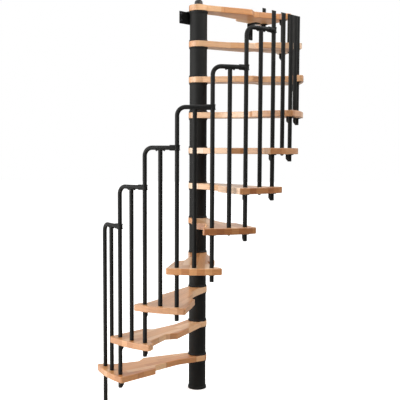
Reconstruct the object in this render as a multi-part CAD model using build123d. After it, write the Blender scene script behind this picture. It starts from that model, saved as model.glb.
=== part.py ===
from build123d import *
from math import atan2, cos, degrees, radians, sin, sqrt
import os

# The stair as a whole: equal rises, each tread turned on from the one below, climbing anticlockwise.
riser = 225.0
tread_count = 11
tread_turn = 18.0  # degrees from one tread to the next
first_bearing = -145.7  # degrees from +X to the first tread's axis
fit_gap = 0.3  # clearance of a tube or rod in its hole
overrun = 5.0  # how far a cutting tool passes the face that it cuts

# Treads: solid beech, cut away on alternate sides so that each foot has its own wide half.
tread_thickness = 37.0
tread_reach = 667.0
tread_width = 320.0
tread_corner = 12.0
tread_round = 4.5  # rounding of the upper and lower edges
neck_bend = 200.0
hub_margin = 1.5  # round end's edge beyond the sleeve's rim

# Outline from the hub outwards: shares of the reach and of half the width.
inner_cut_shares = [(0.268, 0.265), (0.540, 0.440), (0.587, 0.780)]
outer_cut_shares = [(0.516, 0.715), (0.602, 0.430), (0.871, 0.670), (0.901, 0.910)]
inner_cut_bearing = 82.0  # degrees round the hub where the inner-cut side leaves it
outer_cut_bearing = 61.0  # degrees round the hub where the outer-cut side leaves it

# Column: spacer sleeves with flared rims, stacked between the treads on one steel rod.
sleeve_radius = 55.5
sleeve_wall = 4.0
rim_radius = 60.0
rim_height = 5.0
flare_height = 8.0
rod_radius = 15.0
base_thickness = 6.0
ball_radius = 26.3
ball_seat_radius = 21.5  # flat on which the ball stands

# Balustrade tubes.
tube_radius = 12.5
tube_wall = 2.0
tube_inset = 39.0  # tubes' circle inside the treads' outer edge
cane_count = 6
cane_bend = 47.0
rail_rise = 897.5  # level rail's axis above its tread
first_rail_drop = 12.0  # first cane stands on the floor, so its rail is a little lower
rail_stop = 18.0  # rail's end short of the next tube's axis
tube_drop = 44.0  # lower end of a tall tube below the tread that it hangs from
plug_cap = 7.0
plug_round = 5.0
plug_stem = 14.0

# Upper tubes are cut off on one sloping plane.
cut_rise = 81.5  # plane above the top tread, at the column's axis
cut_slope_x = -0.225  # rise per unit of X
cut_slope_y = 0.2215  # rise per unit of Y

# Rail connectors: a socket on the rail's end, with a ring that clips round the next tube.
socket_radius = 16.0
socket_reach = 42.0  # socket's mouth from the tube's axis
ring_radius = 15.6
ring_height = 30.0
ring_lip_radius = 17.4
ring_lip_height = 5.0

# Rail saddles: troughs under the rail that take the middle baluster's top.
saddle_length = 54.0
saddle_wall = 3.0
saddle_depth_share = 0.35  # top edge of the trough below the rail's axis, of its outer radius

# Collars under the treads.
flange_radius = 24.5
flange_thickness = 4.0
boss_reach = 22.5  # towards the column from the tube's axis
boss_width = 15.0
boss_height = 22.0
boss_taper = 12.0
boss_round = 3.0

# Brackets under the top tread: both have a leg flat against the edge of the floor.
floor_edge_turn = 9.117  # degrees from the top tread's axis to the floor's edge
bracket_thickness = 5.0
bracket_clearance = 0.5  # leg's inner face beyond the sleeve's rim
column_leg_width = 212.0
column_leg_height = 77.0
column_tongue_width = 104.0
column_bolt_radius = 5.5
column_bolt_inset = 14.0  # bolt hole's centre from the leg's end
column_bolt_margin = 18.0  # bolt hole's centre from the leg's top and bottom
landing_gap = 24.0  # between the landing bracket and the collar beside it
landing_leg_width = 52.0
landing_leg_height = 110.0
landing_foot_length = 78.0
landing_bolt_radius = 4.5
landing_bolt_margin = 22.0  # lower bolt hole's centre from the leg's lower end
landing_bolt_spacing = 52.0
plate_corner = 4.0

hub_radius = rim_radius + hub_margin
half_width = tread_width / 2
tube_circle = tread_reach - tube_inset
rail_circle = sqrt(tube_circle**2 - cane_bend**2)  # level rails run round the column, tangent to the bends
half_turn = tread_turn / 2
tube_sides = (-half_turn, half_turn)  # bearings of a tread's two tall tubes from its axis
stair_height = riser * tread_count
rail_trough = tube_radius + fit_gap + saddle_wall
tube_bore = tube_radius - tube_wall


def tread_bearing(number):
    return first_bearing + tread_turn * (number - 1)


def tread_top(number):
    return riser * number


def tread_underside(number):
    return tread_top(number) - tread_thickness


def place(radius, bearing, height):
    return Vector(radius * cos(radians(bearing)), radius * sin(radians(bearing)), height)


def tall_tube_at(number, height):
    return place(tube_circle, tread_bearing(number) - half_turn, height)


def middle_tube_at(number, height):
    return place(rail_circle, tread_bearing(number), height)


def rail_height(number):
    drop = first_rail_drop if number == 1 else 0
    return tread_top(number) + rail_rise - drop


def rail_turn(length):
    return degrees(length / rail_circle)


def along_rail(number, section, start_bearing, turn):
    start = place(rail_circle, start_bearing, rail_height(number))
    across = Plane(origin=start, x_dir=(0, 0, 1), z_dir=place(1, start_bearing + 90, 0))
    return revolve(across * section, Axis.Z, revolution_arc=turn)


def cut_plane():
    return Plane(origin=(0, 0, stair_height + cut_rise), z_dir=(-cut_slope_x, -cut_slope_y, 1))


# Treads

def tread_outline(hand):
    reach_at_corner = sqrt(tread_reach**2 - half_width**2)
    inner_cut = [place(hub_radius, inner_cut_bearing, 0)]
    inner_cut += [Vector(along * tread_reach, across * half_width) for along, across in inner_cut_shares]
    inner_cut += [Vector(reach_at_corner, half_width)]
    outer_cut = [place(hub_radius, -outer_cut_bearing, 0)]
    outer_cut += [Vector(along * tread_reach, -across * half_width) for along, across in outer_cut_shares]
    outer_cut += [Vector(reach_at_corner, -half_width)]
    edges = [
        FilletPolyline(*inner_cut, radius=[neck_bend, tread_corner, tread_corner]),
        ThreePointArc(inner_cut[-1], (tread_reach, 0), outer_cut[-1]),
        FilletPolyline(*outer_cut, radius=tread_corner),
        Line(outer_cut[0], inner_cut[0]),
    ]
    outline = make_face(Curve() + edges)
    outline = fillet(outline.vertices().sort_by(Axis.X)[-2:], tread_corner)
    outline += Circle(hub_radius)
    return outline if hand > 0 else mirror(outline, about=Plane.XZ)


def tread(number):
    hand = 1 if number % 2 else -1
    board = extrude(tread_outline(hand), tread_thickness)
    faces = board.faces().sort_by(Axis.Z)
    board = fillet(faces[0].outer_wire().edges() + faces[-1].outer_wire().edges(), tread_round)
    bores = extrude(Circle(rod_radius + fit_gap), tread_thickness + overrun, both=True)
    for side in tube_sides:
        hole = extrude(Circle(tube_radius + fit_gap), tread_thickness + overrun, both=True)
        bores += Pos(place(tube_circle, side, 0)) * hole
    return Pos(0, 0, tread_underside(number)) * Rot(0, 0, tread_bearing(number)) * (board - bores)


# Column

def sleeve(low, high):
    bore = sleeve_radius - sleeve_wall
    flare_end = rim_height + flare_height
    section = Polyline(
        (bore, 0, low),
        (rim_radius, 0, low),
        (rim_radius, 0, low + rim_height),
        (sleeve_radius, 0, low + flare_end),
        (sleeve_radius, 0, high - flare_end),
        (rim_radius, 0, high - rim_height),
        (rim_radius, 0, high),
        (bore, 0, high),
        close=True,
    )
    return revolve(make_face(section), Axis.Z)


def column_sleeve(number):
    low = tread_top(number - 1) + (base_thickness if number == 1 else 0)
    high = tread_underside(number) - (bracket_thickness if number == tread_count else 0)
    return sleeve(low, high)


def base_plate():
    return extrude(Circle(rim_radius), base_thickness)


def column_rod():
    return Pos(0, 0, base_thickness) * extrude(Circle(rod_radius), stair_height - base_thickness)


def ball_finial():
    centre = stair_height + sqrt(ball_radius**2 - ball_seat_radius**2)
    ball = Pos(0, 0, centre) * Sphere(ball_radius)
    return split(ball, bisect_by=Plane.XY.offset(stair_height), keep=Keep.TOP)


# Balustrade

def tube(foot, length):
    ring = Circle(tube_radius) - Circle(tube_bore)
    return Pos(foot) * extrude(ring, length)


def tall_tube_foot(number):
    if number == 1:
        return 0
    return tread_underside(number - 1) - tube_drop + plug_cap


def cane(number):
    level = rail_height(number)
    bearing = tread_bearing(number) - half_turn
    foot = tall_tube_at(number, tall_tube_foot(number))
    bend_start = tall_tube_at(number, level - cane_bend)
    bend_end = place(rail_circle, bearing + degrees(atan2(cane_bend, rail_circle)), level)
    rail_end = place(rail_circle, bearing + tread_turn - rail_turn(rail_stop), level)
    path = Curve() + [
        Line(foot, bend_start),
        TangentArc(bend_start, bend_end, tangent=(0, 0, 1)),
        ThreePointArc(bend_end, middle_tube_at(number, level), rail_end),
    ]
    outside = sweep(Pos(foot) * Circle(tube_radius), path=path)
    inside = sweep(Pos(foot) * Circle(tube_bore), path=path)
    return outside - inside


def post(number):
    foot = tall_tube_at(number, tall_tube_foot(number))
    uncut = tube(foot, stair_height + tread_reach - foot.Z)
    return split(uncut, bisect_by=cut_plane(), keep=Keep.BOTTOM)


def under_rail(number, section):
    turn = rail_turn(saddle_length)
    return along_rail(number, section, tread_bearing(number) - turn / 2, turn)


def middle_baluster(number):
    foot = middle_tube_at(number, tread_top(number))
    if number > cane_count:
        uncut = tube(foot, stair_height + tread_reach - foot.Z)
        return split(uncut, bisect_by=cut_plane(), keep=Keep.BOTTOM)
    uncut = tube(foot, rail_height(number) - foot.Z)
    return uncut - under_rail(number, Circle(rail_trough + fit_gap))


def tube_plug(number):
    top = tall_tube_at(number, tall_tube_foot(number))
    cap = extrude(Circle(tube_radius), -plug_cap)
    cap = fillet(cap.edges().sort_by(Axis.Z)[0], min(plug_round, plug_cap / 2, tube_radius / 2))
    stem = extrude(Circle(tube_bore - fit_gap), plug_stem)
    return Pos(top) * (cap + stem)


def rail_connector(number):
    axis = Pos(tall_tube_at(number + 1, rail_height(number)))
    bearing = tread_bearing(number) + half_turn
    ring = extrude(Circle(ring_radius), ring_height / 2, both=True)
    lip = extrude(Circle(ring_lip_radius), ring_lip_height)
    ring += Pos(0, 0, -ring_height / 2) * lip
    ring += Pos(0, 0, ring_height / 2 - ring_lip_height) * lip
    mouth = rail_turn(socket_reach)
    beyond_mouth = rail_turn(socket_reach + overrun)
    hole = Circle(tube_radius + fit_gap)
    body = axis * ring + along_rail(number, Circle(socket_radius), bearing - mouth, mouth)
    seat_turn = beyond_mouth - rail_turn(rail_stop - fit_gap)
    body -= along_rail(number, hole, bearing - beyond_mouth, seat_turn)
    return body - axis * extrude(hole, ring_height / 2 + overrun, both=True)


def rail_saddle(number):
    trough = Circle(rail_trough) - Circle(tube_radius + fit_gap)
    keep_top = -rail_trough * saddle_depth_share
    lower = Pos(keep_top - rail_trough, 0) * Rectangle(2 * rail_trough, 2 * rail_trough)
    return under_rail(number, trough & lower)


def tread_collar(number, side):
    bearing = tread_bearing(number) + side
    flange = extrude(Circle(flange_radius), -flange_thickness)
    lower = -flange_thickness - boss_height
    profile = Polyline(
        (0, 0, 0),
        (-boss_reach, 0, 0),
        (-boss_reach, 0, lower),
        (-tube_radius, 0, lower - boss_taper),
        (0, 0, lower - boss_taper),
        close=True,
    )
    boss = extrude(make_face(profile), boss_width / 2, both=True)
    boss = fillet(boss.edges().filter_by(Axis.Z).sort_by(Axis.X)[:2], boss_round)
    hole = extrude(Circle(tube_radius + fit_gap), boss_reach + boss_height + boss_taper, both=True)
    seat = place(tube_circle, bearing, tread_underside(number))
    return Pos(seat) * Rot(0, 0, bearing) * (flange + boss - hole)


# Brackets

def floor_edge():
    bearing = tread_bearing(tread_count) + floor_edge_turn
    origin = (0, 0, tread_underside(tread_count))
    return Plane(origin=origin, x_dir=place(1, bearing, 0), z_dir=(0, 0, 1))


leg_inside = rim_radius + bracket_clearance
leg_outside = leg_inside + bracket_thickness


def bracket_leg(middle, width, height, bolt_places, bolt_radius):
    face = Plane(origin=(middle, leg_inside, -height / 2), x_dir=(1, 0, 0), z_dir=(0, -1, 0))
    sheet = Rectangle(width, height)
    sheet = fillet(sheet.vertices().sort_by(Axis.Y)[:2], plate_corner)
    for across, up in bolt_places:
        sheet -= Pos(across, up) * Circle(bolt_radius)
    return face * extrude(sheet, -bracket_thickness)


def column_bracket():
    across = column_leg_width / 2 - column_bolt_inset
    up = column_leg_height / 2 - column_bolt_margin
    bolt_places = [(-across, -up), (across, -up), (-across, up), (across, up)]
    leg = bracket_leg(0, column_leg_width, column_leg_height, bolt_places, column_bolt_radius)
    tongue = Pos(0, leg_outside / 2) * Rectangle(column_tongue_width, leg_outside)
    plate = Circle(rim_radius) + tongue - Circle(rod_radius + fit_gap)
    return floor_edge() * (extrude(plate, -bracket_thickness) + leg)


def landing_bracket():
    middle = tube_circle - flange_radius - landing_gap - landing_leg_width / 2
    low_bolt = landing_bolt_margin - landing_leg_height / 2
    bolt_places = [(0, low_bolt), (0, low_bolt + landing_bolt_spacing)]
    leg = bracket_leg(middle, landing_leg_width, landing_leg_height, bolt_places, landing_bolt_radius)
    foot = Rectangle(landing_leg_width, landing_foot_length)
    foot = fillet(foot.vertices().sort_by(Axis.Y)[:2], plate_corner)
    foot = Pos(middle, leg_outside - landing_foot_length / 2) * foot
    return floor_edge() * (extrude(foot, -bracket_thickness) + leg)


# One file for each piece, or for each set of like pieces

def together(shapes):
    return Compound([solid for shape in shapes for solid in shape.solids()])


treads = range(1, tread_count + 1)
canes = range(1, cane_count + 1)
posts = range(cane_count + 1, tread_count + 2)

nodes = {
    "base_plate": base_plate(),
    "column_rod": column_rod(),
    "ball_finial": ball_finial(),
    "column_bracket": column_bracket(),
    "landing_bracket": landing_bracket(),
    "middle_balusters": together(middle_baluster(number) for number in treads),
    "rail_connectors": together(rail_connector(number) for number in canes),
    "rail_saddles": together(rail_saddle(number) for number in canes),
    "tread_collars": together(tread_collar(number, side) for number in treads for side in tube_sides),
    "tube_plugs": together(tube_plug(number) for number in range(2, tread_count + 2)),
}
for number in treads:
    nodes[f"column_sleeve_{number:02d}"] = column_sleeve(number)
    nodes[f"tread_{number:02d}"] = tread(number)
for number in canes:
    nodes[f"cane_{number:02d}"] = cane(number)
for number in posts:
    nodes[f"post_{number:02d}"] = post(number)

os.makedirs("parts", exist_ok=True)
for name, shape in nodes.items():
    shape.label = name
    export_step(shape, f"parts/{name}.step")
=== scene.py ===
import bmesh
import bpy
import math
from mathutils import Matrix, Vector


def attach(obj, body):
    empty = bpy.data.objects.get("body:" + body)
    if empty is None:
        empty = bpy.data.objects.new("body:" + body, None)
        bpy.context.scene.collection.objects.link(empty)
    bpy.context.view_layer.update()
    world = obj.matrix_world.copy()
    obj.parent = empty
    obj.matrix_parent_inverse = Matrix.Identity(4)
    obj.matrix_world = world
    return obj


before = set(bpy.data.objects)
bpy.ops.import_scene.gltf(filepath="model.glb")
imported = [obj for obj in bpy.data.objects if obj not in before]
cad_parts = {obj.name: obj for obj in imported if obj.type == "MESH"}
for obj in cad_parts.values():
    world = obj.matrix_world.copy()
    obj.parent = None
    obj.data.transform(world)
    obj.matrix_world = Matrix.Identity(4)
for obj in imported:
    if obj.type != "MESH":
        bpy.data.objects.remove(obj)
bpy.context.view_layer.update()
print("frame loaded,", len(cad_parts), "nodes")

# sizes that scene pieces share with the stair, in metres and degrees
stair = {
    "riser": 0.225,
    "treads": 11,
    "turn": 18.0,
    "firstBearing": -145.7,
    "treadThickness": 0.037,
    "tubeCircle": 0.628,
    "tubeSides": (-0.5, 0.5),  # a tread's two tall tubes, as shares of the turn from tread to tread
    "railCircle": 0.62624,
    "railRise": 0.8975,
    "firstRailDrop": 0.012,
    "canes": 6,
    "sharpEdge": 28.0,  # edges that turn by more than this are drawn sharp
    "sharpScrewEdge": 30.0,
}


def bearingOf(number):
    return stair["firstBearing"] + stair["turn"] * (number - 1)


def undersideOf(number):
    return stair["riser"] * number - stair["treadThickness"]


# camera: a long lens a little over half way up the stair
view = {
    "focalPx": 695.9,
    "framePx": 400,
    "sensorMm": 36.0,
    "farthest": 200.0,
    "distance": 4.5,
    "height": 1.5595,
    "pitch": 4.091,
    "yaw": 0.183,
    "roll": 0.261,
}
cameraData = bpy.data.cameras.new("stairCamera")
cameraData.sensor_fit = "HORIZONTAL"
cameraData.sensor_width = view["sensorMm"]
cameraData.lens = view["focalPx"] / view["framePx"] * cameraData.sensor_width
cameraData.clip_end = view["farthest"]
camera = bpy.data.objects.new("stairCamera", cameraData)
bpy.context.scene.collection.objects.link(camera)
turnYaw = Matrix.Rotation(-math.radians(view["yaw"]), 4, "Z")
turnPitch = Matrix.Rotation(math.radians(90.0 - view["pitch"]), 4, "X")
turnRoll = Matrix.Rotation(math.radians(view["roll"]), 4, "Z")
stand = Matrix.Translation((0.0, -view["distance"], view["height"]))
camera.matrix_world = stand @ turnYaw @ turnPitch @ turnRoll
bpy.context.scene.camera = camera
print("camera set")


# small tools for the materials
def linear(hexColour):
    parts = [int(hexColour[i:i + 2], 16) / 255.0 for i in (1, 3, 5)]
    return tuple(c / 12.92 if c <= 0.04045 else ((c + 0.055) / 1.055) ** 2.4 for c in parts) + (1.0,)


def addNode(tree, kind, settings=None, links=None):
    node = tree.nodes.new(kind)
    for key, value in (settings or {}).items():
        if key == "stops":  # places and colours along a ramp
            elements = node.color_ramp.elements
            while len(elements) < len(value):
                elements.new(0.5)
            for element, (position, colour) in zip(elements, value):
                element.position = position
                element.color = linear(colour)
        elif isinstance(key, int) or key in node.inputs:
            node.inputs[key].default_value = value
        else:
            setattr(node, key, value)
    for key, socket in (links or {}).items():
        tree.links.new(socket, node.inputs[key])
    return node


def newMaterial(name):
    material = bpy.data.materials.new(name)
    material.use_nodes = True
    tree = material.node_tree
    tree.nodes.clear()
    shader = addNode(tree, "ShaderNodeBsdfPrincipled")
    addNode(tree, "ShaderNodeOutputMaterial", {}, {"Surface": shader.outputs[0]})
    return material, tree, shader


perMetre = 1000.0  # millimetres, so a pattern's scale is this over the size of one unit of it
noiseLow, noiseHigh = 0.3, 0.7  # most of a noise lies between these

# Beech: staves planed and glued side by side, under clear lacquer.
# Each board is made of short staves of different tone, so the eye sees blocks, long grain and small dark flecks.
beech = {
    "staveWidthMm": 43.0,
    "staveStart": 40.37,  # staves counted before the middle of the tread
    "staveStep": 7.31,  # and more of them from tread to tread, so that no two treads are alike
    "blockLengthMm": 310.0,
    "blockStart": 20.0,
    "blockShift": 3.0,  # blocks that one stave may lie ahead of the next
    "chanceStart": 0.5,
    "ownShift": (0.9, 0.12, 0.12),  # metres by which a block's grain may be moved
    "tones": [(0.0, "#b97d4a"), (0.2, "#c68d59"), (0.5, "#d09b6a"), (0.8, "#d8a97c"), (1.0, "#e2bb94")],
    "endTones": [(0.0, "#a87247"), (0.5, "#ba8559"), (1.0, "#ca9a70")],
    # red, green and blue shares that darken the ends of treads 4 to 7: painted shade on ends that turn from the
    # lamps
    "paintedShadeEnds": {4: (0.94, 0.77, 0.50), 5: (0.62, 0.42, 0.17), 6: (0.66, 0.45, 0.18), 7: (0.80, 0.66, 0.40)},
    # the same for whole treads: treads 6 to 10 are paler and whiter, painted highlight for the lamps' sheen on their
    # lit sides, most on tread 7, and treads 1 and 11 are darker
    "treadSheenAndTone": {1: "deep", 6: "pale", 7: "palest", 8: "pale", 9: "pale", 10: "pale", 11: "deep"},
    "sheenAndToneShares": {"palest": (0.87, 1.01, 1.26), "pale": (0.97, 1.06, 1.25), "plain": (1.0, 1.0, 1.0),
                    "deep": (0.98, 0.91, 0.80)},
    "grainWidthMm": 2.6,  # real pores are far finer, drawn this coarse so that they show
    "grainLengthMm": 90.0,
    "grainDark": 0.90,
    "grainLight": 1.06,
    "ringSpacingMm": 17.765,  # real rings are about 3 mm apart, drawn coarser so that they show
    "ringWander": 2.4,
    "ringDark": 0.92,
    "ringLight": 1.03,
    "fleckPitchMm": 1.6,  # a fleck is about half of this wide, coarser than real so that it shows
    "fleckLengthPitchMm": 7.0,
    "fleckCore": 0.16,
    "fleckRim": 0.30,
    "fleckColour": "#a8703f",
    "fleckShare": 0.35,
    "cloudMm": 181.818,  # slow changes of tone along a stave
    "cloudDark": 0.94,
    "cloudLight": 1.04,
    "endFrom": 0.32,  # how squarely a face crosses the grain before it starts to show end grain; set low so that slanting faces, such as the notches, darken too, partly real end grain and partly painted shade
    "endTo": 0.72,
    "endShare": 0.9,
    "jointMm": 0.9,  # glue lines are hair thin, drawn wider so that they show
    "jointColour": "#8a5730",
    "jointShare": 0.45,
    "roughness": 0.42,
    "duller": 0.06,
    "glossier": 0.05,
    "endRoughness": 0.55,
    "reliefStrength": 0.08,
    "reliefDepth": 0.0006,
    "ior": 1.5,
    "coat": 0.55,
    "coatRoughness": 0.24,
}


def makeBeech(number):
    material, tree, shader = newMaterial("beechStavesLacquered%02d" % number)
    bearing = math.radians(bearingOf(number))
    spot = addNode(tree, "ShaderNodeTexCoord")
    along = addNode(tree, "ShaderNodeMapping", {"Rotation": (0.0, 0.0, -bearing)},
                    {"Vector": spot.outputs["Object"]})
    axes = addNode(tree, "ShaderNodeSeparateXYZ", {}, {0: along.outputs[0]})
    # staves lie side by side across the tread
    across = addNode(tree, "ShaderNodeMath",
                     {"operation": "MULTIPLY_ADD", 1: perMetre / beech["staveWidthMm"],
                      2: beech["staveStart"] + beech["staveStep"] * number}, {0: axes.outputs["Y"]})
    stave = addNode(tree, "ShaderNodeMath", {"operation": "FLOOR"}, {0: across.outputs[0]})
    staveEdge = addNode(tree, "ShaderNodeMath", {"operation": "PINGPONG", 1: 0.5}, {0: across.outputs[0]})
    staveChance = addNode(tree, "ShaderNodeTexWhiteNoise", {"noise_dimensions": "1D"}, {"W": stave.outputs[0]})
    # and each stave is made of blocks, end to end, that start at different places
    run = addNode(tree, "ShaderNodeMath",
                  {"operation": "MULTIPLY_ADD", 1: perMetre / beech["blockLengthMm"], 2: beech["blockStart"]},
                  {0: axes.outputs["X"]})
    shifted = addNode(tree, "ShaderNodeMath", {"operation": "MULTIPLY_ADD", 1: beech["blockShift"]},
                      {0: staveChance.outputs["Value"], 2: run.outputs[0]})
    block = addNode(tree, "ShaderNodeMath", {"operation": "FLOOR"}, {0: shifted.outputs[0]})
    blockEdge = addNode(tree, "ShaderNodeMath", {"operation": "PINGPONG", 1: 0.5}, {0: shifted.outputs[0]})
    address = addNode(tree, "ShaderNodeCombineXYZ", {2: beech["chanceStart"] + number},
                      {0: stave.outputs[0], 1: block.outputs[0]})
    chance = addNode(tree, "ShaderNodeTexWhiteNoise", {"noise_dimensions": "3D"}, {"Vector": address.outputs[0]})
    # grain runs along the tread and starts anew in each block
    ownPlace = addNode(tree, "ShaderNodeVectorMath", {"operation": "MULTIPLY_ADD", 1: beech["ownShift"]},
                       {0: chance.outputs["Color"], 2: along.outputs[0]})
    fine = perMetre / beech["grainWidthMm"]
    grainSpace = addNode(tree, "ShaderNodeVectorMath",
                         {"operation": "MULTIPLY", 1: (perMetre / beech["grainLengthMm"], fine, fine)},
                         {0: ownPlace.outputs[0]})
    grain = addNode(tree, "ShaderNodeTexNoise", {"Scale": 1.0, "Detail": 3.0, "Roughness": 0.55},
                    {"Vector": grainSpace.outputs[0]})
    # at scale 1 the rings come every tenth of pi
    rings = addNode(tree, "ShaderNodeTexWave",
                    {"wave_type": "RINGS", "rings_direction": "X", "wave_profile": "SAW",
                     "Scale": perMetre / beech["ringSpacingMm"] * math.pi / 10.0,
                     "Distortion": beech["ringWander"], "Detail": 2.0, "Detail Scale": 0.5},
                    {"Vector": ownPlace.outputs[0]})
    fine = perMetre / beech["fleckPitchMm"]
    fleckSpace = addNode(tree, "ShaderNodeVectorMath",
                         {"operation": "MULTIPLY", 1: (perMetre / beech["fleckLengthPitchMm"], fine, fine)},
                         {0: ownPlace.outputs[0]})
    flecks = addNode(tree, "ShaderNodeTexVoronoi", {"Scale": 1.0, "Randomness": 1.0},
                     {"Vector": fleckSpace.outputs[0]})
    fleckMask = addNode(tree, "ShaderNodeMapRange", {1: beech["fleckCore"], 2: beech["fleckRim"], 3: 1.0, 4: 0.0},
                        {0: flecks.outputs["Distance"]})
    cloud = addNode(tree, "ShaderNodeTexNoise", {"Scale": perMetre / beech["cloudMm"], "Detail": 2.0},
                    {"Vector": ownPlace.outputs[0]})
    # tone of the block, then rings, grain and flecks over it
    tone = addNode(tree, "ShaderNodeValToRGB", {"stops": beech["tones"]}, {0: chance.outputs["Value"]})
    ringDepth = addNode(tree, "ShaderNodeMapRange",
                        {1: 0.0, 2: 1.0, 3: beech["ringLight"], 4: beech["ringDark"]}, {0: rings.outputs["Fac"]})
    grainDepth = addNode(tree, "ShaderNodeMapRange",
                         {1: noiseLow, 2: noiseHigh, 3: beech["grainDark"], 4: beech["grainLight"]},
                         {0: grain.outputs["Fac"]})
    cloudDepth = addNode(tree, "ShaderNodeMapRange",
                         {1: noiseLow, 2: noiseHigh, 3: beech["cloudDark"], 4: beech["cloudLight"]},
                         {0: cloud.outputs["Fac"]})
    depth = addNode(tree, "ShaderNodeMath", {"operation": "MULTIPLY"},
                    {0: ringDepth.outputs[0], 1: grainDepth.outputs[0]})
    depth = addNode(tree, "ShaderNodeMath", {"operation": "MULTIPLY"},
                    {0: depth.outputs[0], 1: cloudDepth.outputs[0]})
    # paler treads carry painted highlight, darker ones a deeper tone
    sheenAndToneShare = beech["sheenAndToneShares"][beech["treadSheenAndTone"].get(number, "plain")]
    sheenAndToneTinted = addNode(tree, "ShaderNodeVectorMath", {"operation": "MULTIPLY", 1: sheenAndToneShare}, {0: tone.outputs[0]})
    shaded = addNode(tree, "ShaderNodeVectorMath", {"operation": "SCALE"},
                     {0: sheenAndToneTinted.outputs[0], "Scale": depth.outputs[0]})
    fleckAmount = addNode(tree, "ShaderNodeMath", {"operation": "MULTIPLY", 1: beech["fleckShare"]},
                          {0: fleckMask.outputs[0]})
    flecked = addNode(tree, "ShaderNodeMix", {"data_type": "RGBA", 7: linear(beech["fleckColour"])},
                      {0: fleckAmount.outputs[0], 6: shaded.outputs[0]})
    # end grain drinks the lacquer, so the faces across the grain are deeper in colour and less glossy
    surface = addNode(tree, "ShaderNodeNewGeometry")
    grainLine = (math.cos(bearing), math.sin(bearing), 0.0)
    facing = addNode(tree, "ShaderNodeVectorMath", {"operation": "DOT_PRODUCT", 1: grainLine},
                     {0: surface.outputs["Normal"]})
    endFace = addNode(tree, "ShaderNodeMath", {"operation": "ABSOLUTE"}, {0: facing.outputs["Value"]})
    endAmount = addNode(tree, "ShaderNodeMapRange",
                        {1: beech["endFrom"], 2: beech["endTo"], 3: 0.0, 4: beech["endShare"]},
                        {0: endFace.outputs[0]})
    endTone = addNode(tree, "ShaderNodeValToRGB", {"stops": beech["endTones"]}, {0: chance.outputs["Value"]})
    endShaded = addNode(tree, "ShaderNodeVectorMath", {"operation": "SCALE"},
                        {0: endTone.outputs[0], "Scale": depth.outputs[0]})
    # treads 4 to 7 have their ends darkened further, which is painted shade
    endPaintedShade = addNode(tree, "ShaderNodeVectorMath",
                      {"operation": "MULTIPLY", 1: beech["paintedShadeEnds"].get(number, (1.0, 1.0, 1.0))},
                      {0: endShaded.outputs[0]})
    ended = addNode(tree, "ShaderNodeMix", {"data_type": "RGBA"},
                    {0: endAmount.outputs[0], 6: flecked.outputs[2], 7: endPaintedShade.outputs[0]})
    # glue lines between staves and blocks
    staveJoint = addNode(tree, "ShaderNodeMapRange",
                         {1: 0.0, 2: beech["jointMm"] / beech["staveWidthMm"], 3: 1.0, 4: 0.0},
                         {0: staveEdge.outputs[0]})
    blockJoint = addNode(tree, "ShaderNodeMapRange",
                         {1: 0.0, 2: beech["jointMm"] / beech["blockLengthMm"], 3: 1.0, 4: 0.0},
                         {0: blockEdge.outputs[0]})
    joint = addNode(tree, "ShaderNodeMath", {"operation": "MAXIMUM"},
                    {0: staveJoint.outputs[0], 1: blockJoint.outputs[0]})
    jointAmount = addNode(tree, "ShaderNodeMath", {"operation": "MULTIPLY", 1: beech["jointShare"]},
                          {0: joint.outputs[0]})
    jointed = addNode(tree, "ShaderNodeMix", {"data_type": "RGBA", 7: linear(beech["jointColour"])},
                      {0: jointAmount.outputs[0], 6: ended.outputs[2]})
    tree.links.new(jointed.outputs[2], shader.inputs["Base Color"])
    gloss = addNode(tree, "ShaderNodeMapRange",
                    {1: noiseLow, 2: noiseHigh, 3: beech["roughness"] + beech["duller"],
                     4: beech["roughness"] - beech["glossier"]}, {0: grain.outputs["Fac"]})
    dulled = addNode(tree, "ShaderNodeMix", {"data_type": "FLOAT", 3: beech["endRoughness"]},
                     {0: endAmount.outputs[0], 2: gloss.outputs[0]})
    tree.links.new(dulled.outputs[0], shader.inputs["Roughness"])
    relief = addNode(tree, "ShaderNodeMath", {"operation": "SUBTRACT"},
                     {0: grain.outputs["Fac"], 1: joint.outputs[0]})
    bump = addNode(tree, "ShaderNodeBump",
                   {"Strength": beech["reliefStrength"], "Distance": beech["reliefDepth"]},
                   {"Height": relief.outputs[0]})
    tree.links.new(bump.outputs[0], shader.inputs["Normal"])
    shader.inputs["IOR"].default_value = beech["ior"]
    shader.inputs["Coat Weight"].default_value = beech["coat"]
    shader.inputs["Coat Roughness"].default_value = beech["coatRoughness"]
    return material


# Powder coat: black polyester powder baked on steel and cast zinc.
# It leaves a faint orange peel, so highlights break up and the black is never quite even.
powder = {
    "black": "#121211",
    "worn": "#181816",
    "peelMm": 3.2,  # the real peel is 1 to 2 mm across, drawn coarser so that it shows close up
    "gritMm": 1.4,  # the powder's grains are far finer, drawn this coarse so that they show
    "gritShare": 0.3,
    "patchMm": 111.111,  # soft patches of slightly thinner coat
    "patchFrom": 0.35,
    "patchTo": 0.68,
    "roughness": 0.58,
    "glossier": 0.05,
    "duller": 0.06,
    "peelStrength": 0.1,
    "ior": 1.5,
    "specular": 0.2,
    "shiftShares": (1.0, 0.37, 0.71),
    # for what is under it: share of the peel, more roughness, depth of the peel, shift of the pattern
    "coats": {
        "powderCoatColumn": (1.2, 0.02, 0.0003, 0.0),
        "powderCoatTube": (1.0, 0.0, 0.0002, 1.7),
        "powderCoatZincCasting": (1.3, 0.06, 0.0004, 3.1),
        "powderCoatSheetSteel": (1.0, 0.04, 0.0003, 4.3),
    },
}


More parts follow.
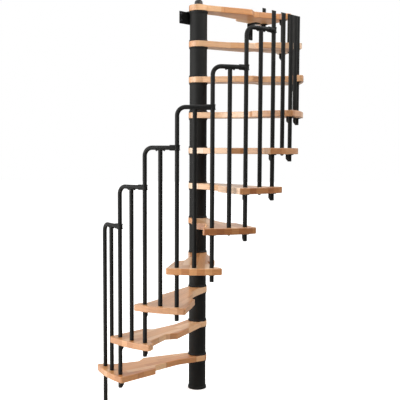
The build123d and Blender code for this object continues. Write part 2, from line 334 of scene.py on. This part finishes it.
def makePowderCoat(name):
    peelShare, rougher, peelDepth, shift = powder["coats"][name]
    roughness = powder["roughness"] + rougher
    material, tree, shader = newMaterial(name)
    spot = addNode(tree, "ShaderNodeTexCoord")
    moved = addNode(tree, "ShaderNodeMapping", {"Location": tuple(shift * s for s in powder["shiftShares"])},
                    {"Vector": spot.outputs["Object"]})
    peel = addNode(tree, "ShaderNodeTexNoise",
                   {"Scale": perMetre / (powder["peelMm"] * peelShare), "Detail": 2.0, "Roughness": 0.45},
                   {"Vector": moved.outputs[0]})
    grit = addNode(tree, "ShaderNodeTexNoise", {"Scale": perMetre / powder["gritMm"], "Detail": 1.0},
                   {"Vector": moved.outputs[0]})
    patches = addNode(tree, "ShaderNodeTexNoise",
                      {"Scale": perMetre / powder["patchMm"], "Detail": 3.0, "Roughness": 0.6},
                      {"Vector": moved.outputs[0]})
    tint = addNode(tree, "ShaderNodeMapRange", {1: powder["patchFrom"], 2: powder["patchTo"], 3: 0.0, 4: 1.0},
                   {0: patches.outputs["Fac"]})
    colour = addNode(tree, "ShaderNodeMix",
                     {"data_type": "RGBA", 6: linear(powder["black"]), 7: linear(powder["worn"])},
                     {0: tint.outputs[0]})
    tree.links.new(colour.outputs[2], shader.inputs["Base Color"])
    gloss = addNode(tree, "ShaderNodeMapRange",
                    {1: noiseLow, 2: noiseHigh, 3: roughness - powder["glossier"], 4: roughness + powder["duller"]},
                    {0: grit.outputs["Fac"]})
    tree.links.new(gloss.outputs[0], shader.inputs["Roughness"])
    height = addNode(tree, "ShaderNodeMath", {"operation": "MULTIPLY_ADD", 1: powder["gritShare"]},
                     {0: grit.outputs["Fac"], 2: peel.outputs["Fac"]})
    bump = addNode(tree, "ShaderNodeBump", {"Strength": powder["peelStrength"], "Distance": peelDepth},
                   {"Height": height.outputs[0]})
    tree.links.new(bump.outputs[0], shader.inputs["Normal"])
    shader.inputs["IOR"].default_value = powder["ior"]
    shader.inputs["Specular IOR Level"].default_value = powder["specular"]
    return material


# Drawn steel: die lines along its length stretch the highlight.
drawnSteel = {
    "lineMm": 1.11111,  # real die lines are finer, drawn this coarse so that they show
    "lineLengthMm": 83.3333,
    "uneven": 0.08,  # roughness to either side of the mean
    "lineStrength": 0.15,
    "lineDepth": 0.0002,
    # dark and light tone, mean roughness
    "finishes": {
        "drawnSteelRod": ("#8d8e90", "#b9babb", 0.36),
        "blackOxideScrewSteel": ("#2b2b2c", "#46464a", 0.42),
    },
}


def makeDrawnSteel(name):
    dark, light, roughness = drawnSteel["finishes"][name]
    material, tree, shader = newMaterial(name)
    spot = addNode(tree, "ShaderNodeTexCoord")
    fine = perMetre / drawnSteel["lineMm"]
    lines = addNode(tree, "ShaderNodeMapping", {"Scale": (fine, fine, perMetre / drawnSteel["lineLengthMm"])},
                    {"Vector": spot.outputs["Object"]})
    streaks = addNode(tree, "ShaderNodeTexNoise", {"Scale": 1.0, "Detail": 2.0}, {"Vector": lines.outputs[0]})
    tone = addNode(tree, "ShaderNodeValToRGB", {"stops": [(noiseLow, dark), (noiseHigh, light)]},
                   {0: streaks.outputs["Fac"]})
    tree.links.new(tone.outputs[0], shader.inputs["Base Color"])
    gloss = addNode(tree, "ShaderNodeMapRange",
                    {1: noiseLow, 2: noiseHigh, 3: roughness - drawnSteel["uneven"],
                     4: roughness + drawnSteel["uneven"]}, {0: streaks.outputs["Fac"]})
    tree.links.new(gloss.outputs[0], shader.inputs["Roughness"])
    bump = addNode(tree, "ShaderNodeBump",
                   {"Strength": drawnSteel["lineStrength"], "Distance": drawnSteel["lineDepth"]},
                   {"Height": streaks.outputs["Fac"]})
    tree.links.new(bump.outputs[0], shader.inputs["Normal"])
    shader.inputs["Metallic"].default_value = 1.0
    return material


# Moulded plastic: polyethylene plugs and a nylon knob.
# They are injection moulded against a lightly eroded tool, so their sheen is soft and even.
moulded = {
    "gritMm": 1.92308,  # the tool's grit is far finer, drawn this coarse so that it shows
    "toneFrom": 0.35,
    "toneTo": 0.65,
    "glossier": 0.04,
    "duller": 0.05,
    "gritStrength": 0.12,
    "gritDepth": 0.0003,
    "ior": 1.51,
    "specular": 0.4,
    # dark and light tone, mean roughness
    "finishes": {
        "mouldedPolyethylenePlug": ("#1b1b1a", "#252523", 0.46),
        "mouldedNylonKnob": ("#1d1d1c", "#272725", 0.34),
    },
}


def makeMouldedPlastic(name):
    dark, light, roughness = moulded["finishes"][name]
    material, tree, shader = newMaterial(name)
    spot = addNode(tree, "ShaderNodeTexCoord")
    grit = addNode(tree, "ShaderNodeTexNoise", {"Scale": perMetre / moulded["gritMm"], "Detail": 2.0},
                   {"Vector": spot.outputs["Object"]})
    tone = addNode(tree, "ShaderNodeValToRGB", {"stops": [(moulded["toneFrom"], dark), (moulded["toneTo"], light)]},
                   {0: grit.outputs["Fac"]})
    tree.links.new(tone.outputs[0], shader.inputs["Base Color"])
    gloss = addNode(tree, "ShaderNodeMapRange",
                    {1: noiseLow, 2: noiseHigh, 3: roughness - moulded["glossier"],
                     4: roughness + moulded["duller"]}, {0: grit.outputs["Fac"]})
    tree.links.new(gloss.outputs[0], shader.inputs["Roughness"])
    bump = addNode(tree, "ShaderNodeBump",
                   {"Strength": moulded["gritStrength"], "Distance": moulded["gritDepth"]},
                   {"Height": grit.outputs["Fac"]})
    tree.links.new(bump.outputs[0], shader.inputs["Normal"])
    shader.inputs["IOR"].default_value = moulded["ior"]
    shader.inputs["Specular IOR Level"].default_value = moulded["specular"]
    return material


columnCoat = makePowderCoat("powderCoatColumn")
tubeCoat = makePowderCoat("powderCoatTube")
castCoat = makePowderCoat("powderCoatZincCasting")
sheetCoat = makePowderCoat("powderCoatSheetSteel")
rodSteel = makeDrawnSteel("drawnSteelRod")
screwSteel = makeDrawnSteel("blackOxideScrewSteel")
plugPlastic = makeMouldedPlastic("mouldedPolyethylenePlug")
knobPlastic = makeMouldedPlastic("mouldedNylonKnob")
print("materials made")


# finishes on the stair's own pieces
def dress(node, material):
    node.data.materials.clear()
    node.data.materials.append(material)
    node.data.shade_smooth()
    node.data.set_sharp_from_angle(angle=math.radians(stair["sharpEdge"]))


for name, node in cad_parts.items():
    if name.startswith("tread_") and name != "tread_collars":
        dress(node, makeBeech(int(name[-2:])))
    elif name.startswith("column_sleeve") or name == "base_plate":
        dress(node, columnCoat)
    elif name in ("tread_collars", "rail_connectors", "rail_saddles"):
        dress(node, castCoat)
    elif name in ("column_bracket", "landing_bracket"):
        dress(node, sheetCoat)
    elif name == "column_rod":
        dress(node, rodSteel)
    elif name == "tube_plugs":
        dress(node, plugPlastic)
    elif name == "ball_finial":
        dress(node, knobPlastic)
    else:
        dress(node, tubeCoat)
print("stair dressed")


# small fasteners: points (radius, height) turned round an axis, the head looks along +Z
def turnRings(mesh, matrix, points, sides):
    angles = [2.0 * math.pi * k / sides for k in range(sides)]
    rings = []
    for radius, height in points:
        turned = [(radius * math.cos(a), radius * math.sin(a), height) for a in angles]
        rings.append([mesh.verts.new(matrix @ Vector(point)) for point in turned])
    for low, high in zip(rings, rings[1:]):
        for k in range(sides):
            mesh.faces.new([low[k], low[(k + 1) % sides], high[(k + 1) % sides], high[k]])
    mesh.faces.new(list(reversed(rings[0])))
    return rings[-1]


# a washer is closed at its middle, level with its last ring
def washer(mesh, matrix, points, sides):
    rim = turnRings(mesh, matrix, points, sides)
    middle = mesh.verts.new(matrix @ Vector((0.0, 0.0, points[-1][1])))
    for k in range(sides):
        mesh.faces.new([rim[k], rim[(k + 1) % sides], middle])


# a hexagon socket sunk in the middle of a head, joined to the round rim
def socketHead(mesh, matrix, outline, rimRadius, topHeight, keyRadius, socketDepth, sides):
    rim = turnRings(mesh, matrix, outline + [(rimRadius, topHeight)], sides)

    def hexPoint(k, height):
        angle = 2.0 * math.pi * k / sides
        corner = math.pi / 6.0
        flat = keyRadius * math.cos(corner) / math.cos((angle % (2.0 * corner)) - corner)
        return mesh.verts.new(matrix @ Vector((flat * math.cos(angle), flat * math.sin(angle), height)))

    mouth = [hexPoint(k, topHeight) for k in range(sides)]
    floor = [hexPoint(k, topHeight - socketDepth) for k in range(sides)]
    for outer, inner in ((rim, mouth), (mouth, floor)):
        for k in range(sides):
            mesh.faces.new([outer[k], outer[(k + 1) % sides], inner[(k + 1) % sides], inner[k]])
    mesh.faces.new(floor)


def finishPiece(name, mesh, material):
    bmesh.ops.recalc_face_normals(mesh, faces=mesh.faces)
    data = bpy.data.meshes.new(name)
    mesh.to_mesh(data)
    mesh.free()
    data.materials.append(material)
    data.shade_smooth()
    data.set_sharp_from_angle(angle=math.radians(stair["sharpScrewEdge"]))
    piece = bpy.data.objects.new(name, data)
    bpy.context.scene.collection.objects.link(piece)
    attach(piece, "root")


def spotAt(radius, bearing, height):
    angle = math.radians(bearing)
    return Vector((radius * math.cos(angle), radius * math.sin(angle), height))


def lookAlong(origin, direction):
    return Matrix.Translation(origin) @ Vector(direction).to_track_quat("Z", "Y").to_matrix().to_4x4()


down = (0.0, 0.0, -1.0)

# grub screws that clamp the tubes, one in each collar's boss
grub = {
    "radius": 0.0042,
    "sunk": 0.001,
    "proud": 0.0012,
    "shoulderShare": 0.6,
    "rimShare": 0.86,
    "key": 0.0024,
    "depth": 0.0016,
    "bossReach": 0.0225,
    "drop": 0.0150,
    "sides": 24,
}
grubOutline = [(grub["radius"], -grub["sunk"]), (grub["radius"], grub["proud"] * grub["shoulderShare"])]
mesh = bmesh.new()
for number in range(1, stair["treads"] + 1):
    for side in stair["tubeSides"]:
        bearing = bearingOf(number) + side * stair["turn"]
        seat = spotAt(stair["tubeCircle"] - grub["bossReach"], bearing, undersideOf(number) - grub["drop"])
        inward = -spotAt(1.0, bearing, 0.0)
        socketHead(mesh, lookAlong(seat, inward), grubOutline, grub["radius"] * grub["rimShare"], grub["proud"],
                   grub["key"], grub["depth"], grub["sides"])
finishPiece("collar_grub_screws", mesh, screwSteel)

# wood screws that hold each collar's flange to its tread
woodScrew = {
    "radius": 0.0036,
    "sunk": 0.0008,
    "shoulder": 0.0003,
    "height": 0.0016,
    "crown": [(0.93, 0.55), (0.70, 0.88)],  # shares of the radius and the height
    "rimShare": 0.5,
    "key": 0.0014,
    "depth": 0.0010,
    "circle": 0.0183,
    "around": (55.0, -55.0),
    "flange": 0.004,
    "sides": 24,
}
screwOutline = [(woodScrew["radius"], -woodScrew["sunk"]), (woodScrew["radius"], woodScrew["shoulder"])]
screwOutline += [(woodScrew["radius"] * r, woodScrew["height"] * h) for r, h in woodScrew["crown"]]
mesh = bmesh.new()
for number in range(1, stair["treads"] + 1):
    for side in stair["tubeSides"]:
        bearing = bearingOf(number) + side * stair["turn"]
        middle = spotAt(stair["tubeCircle"], bearing, undersideOf(number) - woodScrew["flange"])
        for around in woodScrew["around"]:
            seat = middle + spotAt(woodScrew["circle"], bearing + around, 0.0)
            socketHead(mesh, lookAlong(seat, down), screwOutline, woodScrew["radius"] * woodScrew["rimShare"],
                       woodScrew["height"], woodScrew["key"], woodScrew["depth"], woodScrew["sides"])
finishPiece("flange_wood_screws", mesh, screwSteel)

# bolt and washer under each tread, up into the middle baluster
bolt = {
    "washerRadius": 0.0125,
    "washerHeight": 0.0020,
    "washerBevel": 0.0005,
    "washerSunk": 0.0004,
    "washerEdge": 0.0006,
    "washerFlat": 0.0040,
    "washerSides": 40,
    "headRadius": 0.0085,
    "headHeight": 0.0062,
    # share of the radius, height above the washer
    "dome": [(1.0, -0.0006), (1.0, 0.0012), (0.95, 0.0028), (0.84, 0.0043), (0.68, 0.0055)],
    "rimShare": 0.55,
    "key": 0.0033,
    "depth": 0.0032,
    "sides": 36,
}
rim = bolt["washerRadius"]
thick = bolt["washerHeight"]
washerOutline = [(rim - bolt["washerBevel"], -bolt["washerSunk"]), (rim, bolt["washerSunk"]),
                 (rim, thick - bolt["washerBevel"]), (rim - bolt["washerEdge"], thick), (bolt["washerFlat"], thick)]
head = bolt["headRadius"]
boltDome = [(head * share, thick + height) for share, height in bolt["dome"]]
mesh = bmesh.new()
for number in range(1, stair["treads"] + 1):
    under = lookAlong(spotAt(stair["railCircle"], bearingOf(number), undersideOf(number)), down)
    washer(mesh, under, washerOutline, bolt["washerSides"])
    socketHead(mesh, under, boltDome, head * bolt["rimShare"], thick + bolt["headHeight"], bolt["key"],
               bolt["depth"], bolt["sides"])
finishPiece("baluster_bolts", mesh, screwSteel)

# two screws up through each saddle into the level rail
saddleScrew = {
    "spread": 0.0235,
    "trough": 0.0158,
    "radius": 0.0046,
    "sunk": 0.0016,
    "height": 0.0034,
    "crown": [(1.0, 0.35), (0.94, 0.65), (0.78, 0.90)],  # shares of the radius and the height
    "rimShare": 0.6,
    "key": 0.0018,
    "depth": 0.0016,
    "sides": 28,
}
saddleOutline = [(saddleScrew["radius"], -saddleScrew["sunk"])]
saddleOutline += [(saddleScrew["radius"] * r, saddleScrew["height"] * h) for r, h in saddleScrew["crown"]]
mesh = bmesh.new()
for number in range(1, stair["canes"] + 1):
    railUnder = stair["riser"] * number + stair["railRise"] - saddleScrew["trough"]
    railUnder -= stair["firstRailDrop"] if number == 1 else 0.0
    for side in (-1.0, 1.0):
        bearing = bearingOf(number) + math.degrees(side * saddleScrew["spread"] / stair["railCircle"])
        seat = spotAt(stair["railCircle"], bearing, railUnder)
        socketHead(mesh, lookAlong(seat, down), saddleOutline, saddleScrew["radius"] * saddleScrew["rimShare"],
                   saddleScrew["height"], saddleScrew["key"], saddleScrew["depth"], saddleScrew["sides"])
finishPiece("saddle_screws", mesh, screwSteel)

# bolts through the brackets' legs, heads on the side of the column, and screws up through the landing bracket's foot
bracketBolt = {
    "turn": 9.117,  # from the top tread's axis to a line through the column's middle, which both legs run beside
    "inside": 0.0605,  # from that line to the legs' near faces
    "grip": 0.0048,
    # place along that line, height from the tread's underside, radius of the hole
    "legs": [(-0.092, -0.018, 0.0055), (0.092, -0.018, 0.0055), (-0.092, -0.059, 0.0055), (0.092, -0.059, 0.0055),
             (0.5535, -0.036, 0.0045), (0.5535, -0.088, 0.0045)],
    "slack": 0.0002,
    "seat": 0.0001,
    "washerShare": 1.9,  # of the hole's radius, as for the head and the key
    "washerRim": [(-0.0004, 0.0001), (0.0, 0.0005), (0.0, 0.0014), (-0.0005, 0.0018)],  # from its radius, height
    "washerSides": 40,
    "headShare": 1.5,
    "dome": [(1.0, 0.0012), (1.0, 0.0030), (0.95, 0.0044), (0.84, 0.0057), (0.70, 0.0066)],  # share, height
    "rimShare": 0.58,
    "top": 0.0070,
    "keyShare": 0.52,
    "depth": 0.0036,
    "sides": 36,
    "footAlong": 0.5535,
    "footDrop": -0.005,
    "footScrews": (0.004, 0.036),  # how far from that line, square to it
    "footScale": 1.2,  # against the collars' wood screws
    "footRimShare": 0.6,
    "footKey": 0.0017,
    "footDepth": 0.0012,
    "footSides": 28,
}
edgeBearing = bearingOf(stair["treads"]) + bracketBolt["turn"]


def edgeSpot(along, square, drop):
    height = undersideOf(stair["treads"]) + drop
    return spotAt(along, edgeBearing, height) + spotAt(square, edgeBearing + 90.0, 0.0)


mesh = bmesh.new()
for along, drop, hole in bracketBolt["legs"]:
    leg = lookAlong(edgeSpot(along, bracketBolt["inside"], drop), spotAt(-1.0, edgeBearing + 90.0, 0.0))
    shank = hole - bracketBolt["slack"]
    rim = hole * bracketBolt["washerShare"]
    legOutline = [(shank, -bracketBolt["grip"]), (shank, bracketBolt["seat"])]
    legOutline += [(rim + inset, height) for inset, height in bracketBolt["washerRim"]]
    washer(mesh, leg, legOutline, bracketBolt["washerSides"])
    head = hole * bracketBolt["headShare"]
    legDome = [(head * share, height) for share, height in bracketBolt["dome"]]
    socketHead(mesh, leg, legDome, head * bracketBolt["rimShare"], bracketBolt["top"],
               hole * bracketBolt["keyShare"], bracketBolt["depth"], bracketBolt["sides"])
footOutline = [(r * bracketBolt["footScale"], h * bracketBolt["footScale"]) for r, h in screwOutline]
for square in bracketBolt["footScrews"]:
    seat = edgeSpot(bracketBolt["footAlong"], square, bracketBolt["footDrop"])
    socketHead(mesh, lookAlong(seat, down), footOutline, woodScrew["radius"] * bracketBolt["footRimShare"],
               woodScrew["height"] * bracketBolt["footScale"], bracketBolt["footKey"], bracketBolt["footDepth"],
               bracketBolt["footSides"])
finishPiece("bracket_bolts", mesh, screwSteel)
print("fasteners made")


# floor, backdrop and studio light
studio = {
    "floorSize": 60.0,
    "floorColour": "#ebebea",
    "shadeColour": "#000000",
    "backdropColour": "#ffffff",
    "nearGlow": 0.45,  # seen only, it lights nothing: brings the lit floor to white and leaves the shadow
    "farGlow": 1.0,
    "glowStart": 1.2,
    "glowEnd": 4.0,
    "glossShare": 0.15,  # of the white that glossy faces show
    "glossFront": -1.0,  # that share comes in on the floor from here to the back
    "glossBack": 2.0,
    "glossDim": 0.75,  # glossy faces see the paper and the room this much darker
    "dimLeft": -0.4,  # that comes in on the floor from left to right
    "dimRight": 0.4,
    "worldColour": "#fbfaf8",
    "worldFront": 0.06,  # the room behind the camera is dark
    "worldBack": 0.64,
    "turnFront": -0.25,  # where the one passes into the other
    "turnBack": 0.45,
    "lampColour": "#ffffff",
    # place, aim, size and watts
    "lamps": {
        "keyLeft": ((-3.7, -1.2, 1.9), (0.0, 0.0, 1.3), (4.6, 3.6), 134.0),
        "keyFront": ((-3.2, -2.4, 2.0), (0.0, 0.0, 1.5), (3.2, 3.4), 108.0),
        "overheadFront": ((0.7, -1.9, 3.5), (0.3, 0.0, 2.3), (1.4, 1.4), 26.0),
        "fillRight": ((3.4, -0.8, 4.3), (0.0, -0.1, 1.0), (2.2, 2.0), 135.0),
        "overheadBack": ((-1.0, 0.8, 5.2), (-0.2, 0.0, 1.0), (2.6, 2.6), 95.0),
    },
}
mesh = bmesh.new()
bmesh.ops.create_grid(mesh, x_segments=1, y_segments=1, size=studio["floorSize"] / 2.0)
floorData = bpy.data.meshes.new("studioFloor")
mesh.to_mesh(floorData)
mesh.free()
floorPiece = bpy.data.objects.new("studioFloor", floorData)
bpy.context.scene.collection.objects.link(floorPiece)
floorPaper = bpy.data.materials.new("whitePaperFloor")
floorPaper.use_nodes = True
tree = floorPaper.node_tree
tree.nodes.clear()
rays = addNode(tree, "ShaderNodeLightPath")
spot = addNode(tree, "ShaderNodeTexCoord")
floorAxes = addNode(tree, "ShaderNodeSeparateXYZ", {}, {0: spot.outputs["Object"]})
shine = addNode(tree, "ShaderNodeMapRange",
                {1: studio["glossFront"], 2: studio["glossBack"], 3: 0.0, 4: studio["glossShare"]},
                {0: floorAxes.outputs["Y"]})
shine = addNode(tree, "ShaderNodeMath", {"operation": "MULTIPLY"},
                {0: rays.outputs["Is Glossy Ray"], 1: shine.outputs[0]})
seen = addNode(tree, "ShaderNodeMath", {"operation": "MAXIMUM"},
               {0: rays.outputs["Is Camera Ray"], 1: rays.outputs["Is Transmission Ray"]})
seen = addNode(tree, "ShaderNodeMath", {"operation": "MAXIMUM"}, {0: seen.outputs[0], 1: shine.outputs[0]})
away = addNode(tree, "ShaderNodeVectorMath", {"operation": "LENGTH"}, {0: spot.outputs["Object"]})
rise = addNode(tree, "ShaderNodeMapRange",
               {1: studio["glowStart"], 2: studio["glowEnd"], 3: studio["nearGlow"], 4: studio["farGlow"]},
               {0: away.outputs["Value"]})
lift = addNode(tree, "ShaderNodeMath", {"operation": "MULTIPLY"}, {0: seen.outputs[0], 1: rise.outputs[0]})
paper = addNode(tree, "ShaderNodeBsdfDiffuse", {"Color": linear(studio["floorColour"])})
dark = addNode(tree, "ShaderNodeBsdfDiffuse", {"Color": linear(studio["shadeColour"])})
# painted shade: the paper to the right lies in the shade of the stair, so its reflections are drawn darker
shade = addNode(tree, "ShaderNodeMapRange",
                {1: studio["dimLeft"], 2: studio["dimRight"], 3: 0.0, 4: studio["glossDim"]},
                {0: floorAxes.outputs["X"]})
dim = addNode(tree, "ShaderNodeMath", {"operation": "MULTIPLY"},
              {0: rays.outputs["Is Glossy Ray"], 1: shade.outputs[0]})
paper = addNode(tree, "ShaderNodeMixShader", {}, {0: dim.outputs[0], 1: paper.outputs[0], 2: dark.outputs[0]})
glow = addNode(tree, "ShaderNodeEmission", {"Color": linear(studio["backdropColour"])},
               {"Strength": lift.outputs[0]})
both = addNode(tree, "ShaderNodeAddShader", {}, {0: paper.outputs[0], 1: glow.outputs[0]})
addNode(tree, "ShaderNodeOutputMaterial", {}, {"Surface": both.outputs[0]})
floorData.materials.append(floorPaper)

world = bpy.data.worlds.new("studioWorld")
bpy.context.scene.world = world
world.use_nodes = True
tree = world.node_tree
tree.nodes.clear()
rays = addNode(tree, "ShaderNodeLightPath")
spot = addNode(tree, "ShaderNodeTexCoord")
heading = addNode(tree, "ShaderNodeSeparateXYZ", {}, {0: spot.outputs["Generated"]})
behind = addNode(tree, "ShaderNodeMapRange", {1: studio["turnFront"], 2: studio["turnBack"], 3: 0.0, 4: 1.0},
                 {0: heading.outputs["Y"]})
roomLight = addNode(tree, "ShaderNodeMapRange",
                    {1: 0.0, 2: 1.0, 3: studio["worldFront"], 4: studio["worldBack"]}, {0: behind.outputs[0]})
# glossy faces show the white backdrop behind the stair and the dark room in front of it
shine = addNode(tree, "ShaderNodeMath", {"operation": "MULTIPLY"},
                {0: rays.outputs["Is Glossy Ray"], 1: behind.outputs[0]})
shine = addNode(tree, "ShaderNodeMath", {"operation": "MULTIPLY", 1: studio["glossShare"]}, {0: shine.outputs[0]})
seen = addNode(tree, "ShaderNodeMath", {"operation": "MAXIMUM"},
               {0: rays.outputs["Is Camera Ray"], 1: rays.outputs["Is Transmission Ray"]})
seen = addNode(tree, "ShaderNodeMath", {"operation": "MAXIMUM"}, {0: seen.outputs[0], 1: shine.outputs[0]})
before = addNode(tree, "ShaderNodeMath", {"operation": "SUBTRACT", 0: 1.0}, {1: behind.outputs[0]})
before = addNode(tree, "ShaderNodeMath", {"operation": "MULTIPLY"},
                 {0: before.outputs[0], 1: rays.outputs["Is Glossy Ray"]})
faint = addNode(tree, "ShaderNodeMapRange", {1: 0.0, 2: 1.0, 3: 1.0, 4: 1.0 - studio["glossDim"]},
                {0: before.outputs[0]})
roomLight = addNode(tree, "ShaderNodeMath", {"operation": "MULTIPLY"},
                    {0: roomLight.outputs[0], 1: faint.outputs[0]})
ambience = addNode(tree, "ShaderNodeBackground", {"Color": linear(studio["worldColour"])},
                   {"Strength": roomLight.outputs[0]})
backdrop = addNode(tree, "ShaderNodeBackground", {"Color": linear(studio["backdropColour"]), "Strength": 1.0})
mixed = addNode(tree, "ShaderNodeMixShader", {},
                {0: seen.outputs[0], 1: ambience.outputs[0], 2: backdrop.outputs[0]})
addNode(tree, "ShaderNodeOutputWorld", {}, {"Surface": mixed.outputs[0]})

for name, (place, aim, size, watts) in studio["lamps"].items():
    data = bpy.data.lights.new(name, "AREA")
    data.shape = "RECTANGLE"
    data.size, data.size_y = size
    data.energy = watts
    data.color = linear(studio["lampColour"])[:3]
    lamp = bpy.data.objects.new(name, data)
    lamp.location = place
    lamp.rotation_euler = (Vector(aim) - Vector(place)).to_track_quat("-Z", "Y").to_euler()
    lamp.visible_camera = False
    bpy.context.scene.collection.objects.link(lamp)
print("studio lit")

scene = bpy.context.scene
scene.view_settings.view_transform = "Standard"
